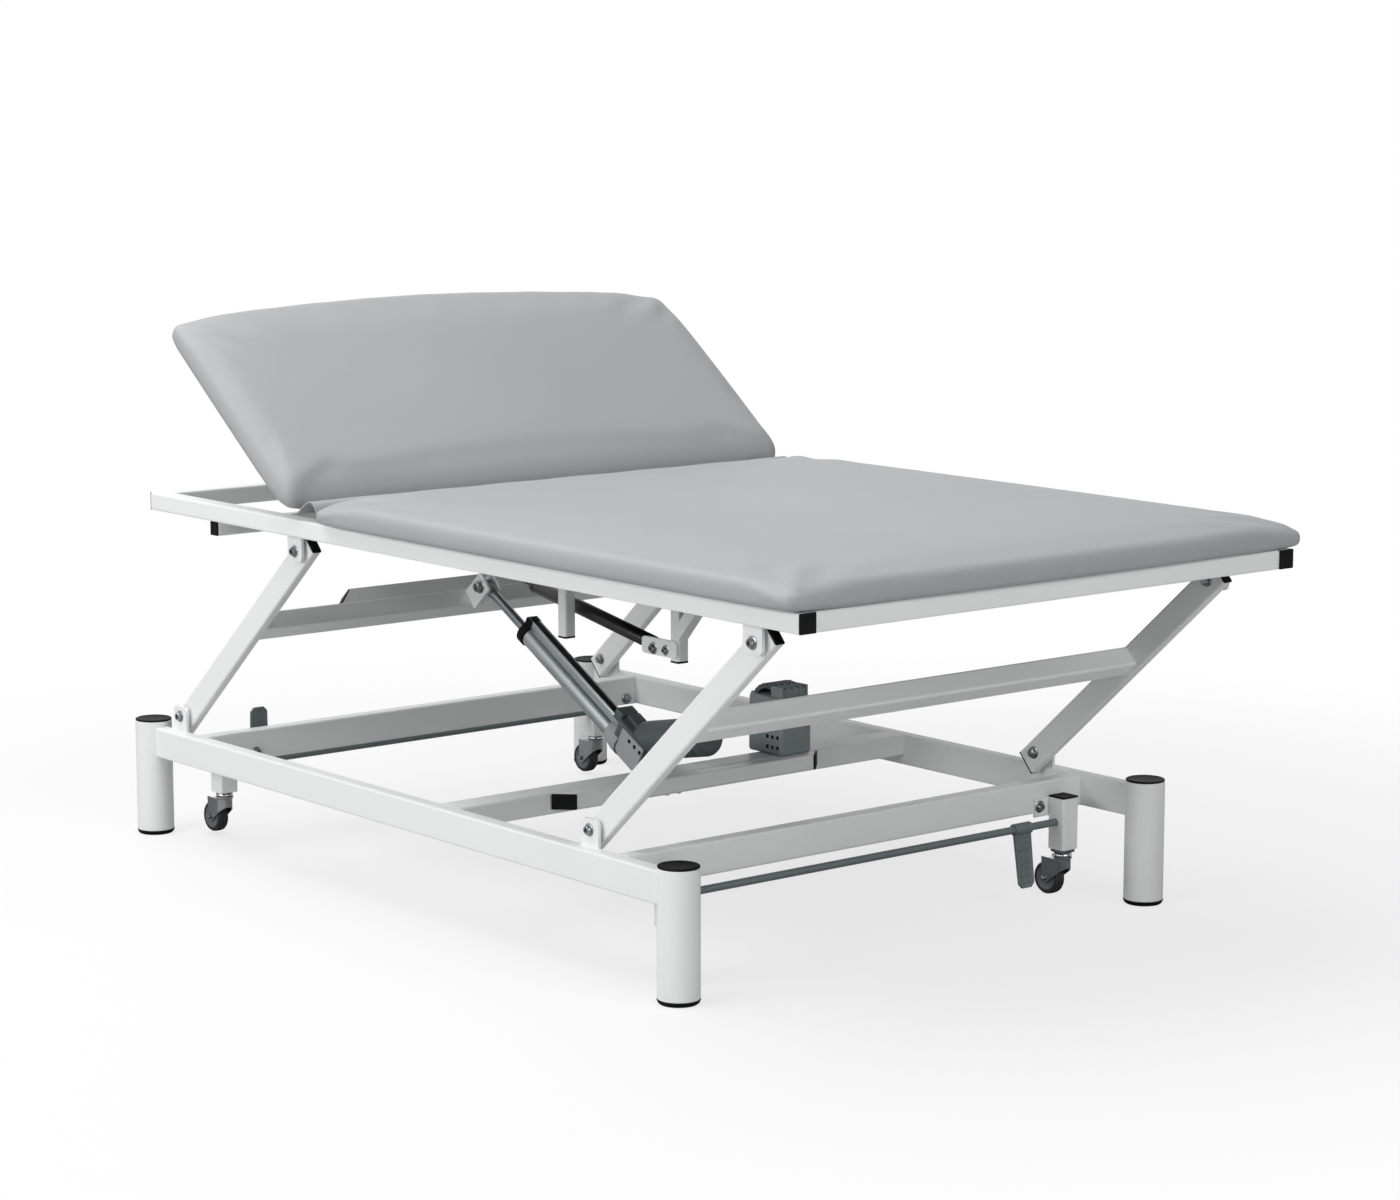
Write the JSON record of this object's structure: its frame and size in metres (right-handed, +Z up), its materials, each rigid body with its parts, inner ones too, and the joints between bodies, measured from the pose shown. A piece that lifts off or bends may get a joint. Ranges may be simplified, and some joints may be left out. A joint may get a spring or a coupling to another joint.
{
  "type": "bobath_table",
  "caption": "Wide two-section Bobath therapy table: grey vinyl mattress with raised gas-sprung backrest on a white parallelogram lifting frame with actuator and pedal casters",
  "frame": {"origin": "on the floor, below the middle of the table's overall length and width", "axes": "+X from the head end to the foot end, +Y to the far side, +Z up"},
  "size_m": [2.075, 1.218, 1.0784],
  "materials": {
    "white_powder_coat": "white powder coat",
    "black_plastic": "moulded black",
    "dark_grey_plastic": "dark grey moulding",
    "pedal_grey": "dark grey coat",
    "anodised_aluminium": "anodised",
    "bright_steel": "zinc bright",
    "gas_spring_black": "black lacquer",
    "tyre_rubber": "black rubber",
    "grey_vinyl": "smooth grey vinyl over foam"
  },
  "bodies": {
    "base": {"base_rail_near": "white_powder_coat", "base_rail_far": "white_powder_coat", "base_crossbar_head": "white_powder_coat", "base_crossbar_mid": "white_powder_coat", "base_crossbar_foot": "white_powder_coat", "motor_beam": "white_powder_coat", "control_box": "dark_grey_plastic", "leg_head_near": "white_powder_coat", "leg_head_far": "white_powder_coat", "leg_foot_near": "white_powder_coat", "leg_foot_far": "white_powder_coat", "foot_pad_head_near": "black_plastic", "foot_pad_head_far": "black_plastic", "foot_pad_foot_near": "black_plastic", "foot_pad_foot_far": "black_plastic", "caster_post_head_near": "white_powder_coat", "caster_post_head_far": "white_powder_coat", "caster_post_foot_near": "white_powder_coat", "caster_post_foot_far": "white_powder_coat"},
    "head_arms": {"lift_arm_head_near": "white_powder_coat", "lift_arm_head_far": "white_powder_coat", "arm_beam_head": "white_powder_coat"},
    "foot_arms": {"lift_arm_foot_near": "white_powder_coat", "lift_arm_foot_far": "white_powder_coat", "arm_beam_foot": "white_powder_coat"},
    "top": {"top_rail_near": "white_powder_coat", "top_rail_far": "white_powder_coat", "top_crossbar_head": "white_powder_coat", "top_crossbar_foot": "white_powder_coat", "stop_tube": "white_powder_coat", "hinge_bar": "bright_steel", "rest_crossbar": "white_powder_coat", "spring_crossbar": "white_powder_coat", "rest_post": "white_powder_coat", "spring_post": "white_powder_coat", "seat_pad": "grey_vinyl", "hinge_flap": "grey_vinyl"},
    "backrest": {"backrest_arm_near": "white_powder_coat", "backrest_arm_far": "white_powder_coat", "backrest_crossbar": "white_powder_coat", "backrest_pad": "grey_vinyl"},
    "actuator": {"actuator_housing": "dark_grey_plastic", "actuator_tube": "anodised_aluminium"},
    "actuator_rod": {"actuator_rod": "bright_steel"},
    "gas_cylinder": {"gas_cylinder": "gas_spring_black"},
    "gas_rod": {"gas_rod": "bright_steel"},
    "pedal_head": {"pedal_shaft_head": "pedal_grey"},
    "pedal_foot": {"pedal_shaft_foot": "pedal_grey"},
    "stem_head_near": {"caster_stem_head_near": "bright_steel"},
    "fork_head_near": {"caster_fork_head_near": "bright_steel"},
    "wheel_head_near": {"caster_wheel_head_near": "tyre_rubber"},
    "stem_head_far": {"caster_stem_head_far": "bright_steel"},
    "fork_head_far": {"caster_fork_head_far": "bright_steel"},
    "wheel_head_far": {"caster_wheel_head_far": "tyre_rubber"},
    "stem_foot_near": {"caster_stem_foot_near": "bright_steel"},
    "fork_foot_near": {"caster_fork_foot_near": "bright_steel"},
    "wheel_foot_near": {"caster_wheel_foot_near": "tyre_rubber"},
    "stem_foot_far": {"caster_stem_foot_far": "bright_steel"},
    "fork_foot_far": {"caster_fork_foot_far": "bright_steel"},
    "wheel_foot_far": {"caster_wheel_foot_far": "tyre_rubber"}
  },
  "joints": [
    {"name": "lift", "type": "hinge", "parent": "base", "child": "head_arms", "pos_m": [-0.90995, 0, 0.2498], "axis": [0, -1, 0], "range_deg": [-22, 20]},
    {"name": "foot_arm_swing", "type": "hinge", "parent": "base", "child": "foot_arms", "pos_m": [0.43005, 0, 0.2498], "axis": [0, -1, 0], "range_deg": [-22.01, 20.01]},
    {"name": "top_level", "type": "hinge", "parent": "head_arms", "child": "top", "pos_m": [-0.47945, 0, 0.62947], "axis": [0, -1, 0], "range_deg": [-20.01, 22.01]},
    {"name": "backrest_tilt", "type": "hinge", "parent": "top", "child": "backrest", "pos_m": [-0.41955, 0, 0.67997], "axis": [0, 1, 0], "range_deg": [-37, 35], "deforming": ["hinge_flap"]},
    {"name": "actuator_swing", "type": "hinge", "parent": "base", "child": "actuator", "pos_m": [-0.05955, 0, 0.1835], "axis": [0, 1, 0], "range_deg": [-4.69, 4.27]},
    {"name": "actuator_stroke", "type": "slide", "parent": "actuator", "child": "actuator_rod", "axis": [-0.8746, 0, 0.4849], "range_m": [-0.1275, 0.11592]},
    {"name": "gas_swing", "type": "hinge", "parent": "top", "child": "gas_cylinder", "pos_m": [0.04555, -0.08, 0.46547], "axis": [0, 1, 0], "range_deg": [-4.09, 3.87]},
    {"name": "gas_stroke", "type": "slide", "parent": "gas_cylinder", "child": "gas_rod", "axis": [-0.9847, 0, 0.1743], "range_m": [-0.08231, 0.07786]},
    {"name": "pedal_head_turn", "type": "hinge", "parent": "base", "child": "pedal_head", "pos_m": [-0.87335, 0, 0.145], "axis": [0, -1, 0], "range_deg": [0, 170]},
    {"name": "stem_head_near_slide", "type": "slide", "parent": "base", "child": "stem_head_near", "axis": [0, 0, 1], "range_m": [-0.0061, 0.0001]},
    {"name": "fork_head_near_swivel", "type": "hinge", "parent": "stem_head_near", "child": "fork_head_near", "pos_m": [-0.87335, -0.47, 0.0837], "axis": [0, 0, 1], "continuous": true},
    {"name": "wheel_head_near_spin", "type": "hinge", "parent": "fork_head_near", "child": "wheel_head_near", "pos_m": [-0.90735, -0.47, 0.0375], "axis": [0, 1, 0], "continuous": true},
    {"name": "stem_head_far_slide", "type": "slide", "parent": "base", "child": "stem_head_far", "axis": [0, 0, 1], "range_m": [-0.0061, 0.0001]},
    {"name": "fork_head_far_swivel", "type": "hinge", "parent": "stem_head_far", "child": "fork_head_far", "pos_m": [-0.87335, 0.47, 0.0837], "axis": [0, 0, 1], "continuous": true},
    {"name": "wheel_head_far_spin", "type": "hinge", "parent": "fork_head_far", "child": "wheel_head_far", "pos_m": [-0.90735, 0.47, 0.0375], "axis": [0, 1, 0], "continuous": true},
    {"name": "pedal_foot_turn", "type": "hinge", "parent": "base", "child": "pedal_foot", "pos_m": [0.55425, 0, 0.145], "axis": [0, -1, 0], "range_deg": [0, 170]},
    {"name": "stem_foot_near_slide", "type": "slide", "parent": "base", "child": "stem_foot_near", "axis": [0, 0, 1], "range_m": [-0.0001, 0.0061]},
    {"name": "fork_foot_near_swivel", "type": "hinge", "parent": "stem_foot_near", "child": "fork_foot_near", "pos_m": [0.55425, -0.47, 0.0777], "axis": [0, 0, 1], "continuous": true},
    {"name": "wheel_foot_near_spin", "type": "hinge", "parent": "fork_foot_near", "child": "wheel_foot_near", "pos_m": [0.58825, -0.47, 0.0315], "axis": [0, 1, 0], "continuous": true},
    {"name": "stem_foot_far_slide", "type": "slide", "parent": "base", "child": "stem_foot_far", "axis": [0, 0, 1], "range_m": [-0.0001, 0.0061]},
    {"name": "fork_foot_far_swivel", "type": "hinge", "parent": "stem_foot_far", "child": "fork_foot_far", "pos_m": [0.55425, 0.47, 0.0777], "axis": [0, 0, 1], "continuous": true},
    {"name": "wheel_foot_far_spin", "type": "hinge", "parent": "fork_foot_far", "child": "wheel_foot_far", "pos_m": [0.52025, 0.47, 0.0315], "axis": [0, 1, 0], "continuous": true}
  ],
  "couplings": [
    {"joint": "foot_arm_swing", "follows": "lift", "ratio": 1},
    {"joint": "top_level", "follows": "lift", "ratio": -1},
    {"joint": "actuator_swing", "follows": "lift", "ratio": 0.2129},
    {"joint": "actuator_stroke", "follows": "lift", "m_per_rad": 0.3318},
    {"joint": "gas_swing", "follows": "backrest_tilt", "ratio": 0.1104},
    {"joint": "gas_stroke", "follows": "backrest_tilt", "m_per_rad": 0.1273},
    {"joint": "stem_head_near_slide", "follows": "pedal_head_turn", "m_per_rad": -0.0020222},
    {"joint": "stem_head_far_slide", "follows": "pedal_head_turn", "m_per_rad": -0.0020222},
    {"joint": "stem_foot_near_slide", "follows": "pedal_foot_turn", "m_per_rad": 0.0020222},
    {"joint": "stem_foot_far_slide", "follows": "pedal_foot_turn", "m_per_rad": 0.0020222}
  ]
}
